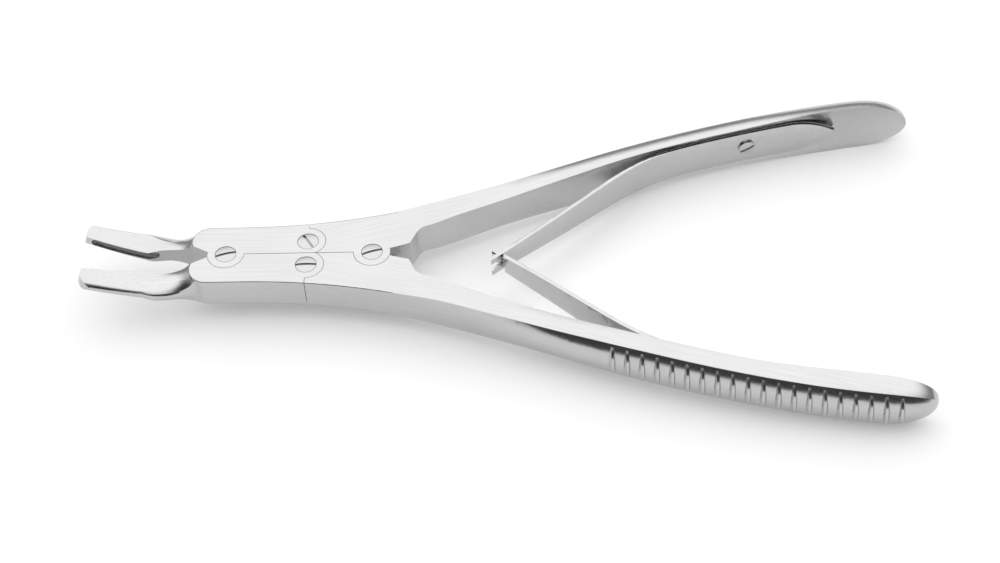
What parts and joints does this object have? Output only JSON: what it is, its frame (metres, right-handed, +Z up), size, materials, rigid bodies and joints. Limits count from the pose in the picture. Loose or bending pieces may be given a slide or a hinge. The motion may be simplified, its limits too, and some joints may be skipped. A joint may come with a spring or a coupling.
{
  "type": "bone rongeur",
  "caption": "Double-action bone rongeur: narrow upward curved cupped jaws, compound linkage of jaws and handles on slotted screws, ribbed grips and interlocking leaf springs.",
  "frame": {"origin": "under the middle of the open instrument's box, at the height of its lowest edge, the grips", "axes": "+X from the jaws towards the handles, +Y towards the upper jaw and upper handle, +Z up, the side that the jaws curve to"},
  "size_m": [0.1767, 0.0884, 0.0122],
  "materials": {
    "satin_steel": "satin",
    "screw_steel": "fine turned",
    "spring_steel": "satin"
  },
  "bodies": {
    "lower_handle": {"lower_handle": "satin_steel", "lower_leaf_spring": "spring_steel", "lower_spring_screw": "screw_steel"},
    "upper_handle": {"upper_handle": "satin_steel", "rear_pivot_screw": "screw_steel", "upper_leaf_spring": "spring_steel", "upper_spring_screw": "screw_steel"},
    "lower_jaw": {"lower_jaw": "satin_steel", "lower_link_screw": "screw_steel"},
    "upper_jaw": {"upper_jaw": "satin_steel", "upper_link_screw": "screw_steel", "front_pivot_screw": "screw_steel"}
  },
  "joints": [
    {"name": "handle_pivot", "type": "hinge", "parent": "lower_handle", "child": "upper_handle", "pos_m": [-0.02665, 0, 0.0061], "axis": [0, 0, 1], "range_deg": [-21.3, 0], "stiffness_Nm_per_rad": 1.2, "springref_deg": 11.46, "deforming": ["upper_leaf_spring", "lower_leaf_spring"]},
    {"name": "lower_link", "type": "hinge", "parent": "lower_handle", "child": "lower_jaw", "pos_m": [-0.0404, -0.00332, 0.0061], "axis": [0, 0, 1], "range_deg": [-19.2, 0]},
    {"name": "upper_link", "type": "hinge", "parent": "upper_handle", "child": "upper_jaw", "pos_m": [-0.0404, 0.00332, 0.0061], "axis": [0, 0, 1], "range_deg": [0, 19.2]}
  ],
  "couplings": [
    {"joint": "lower_link", "follows": "handle_pivot", "ratio": 0.8943},
    {"joint": "upper_link", "follows": "handle_pivot", "ratio": -0.8943}
  ]
}
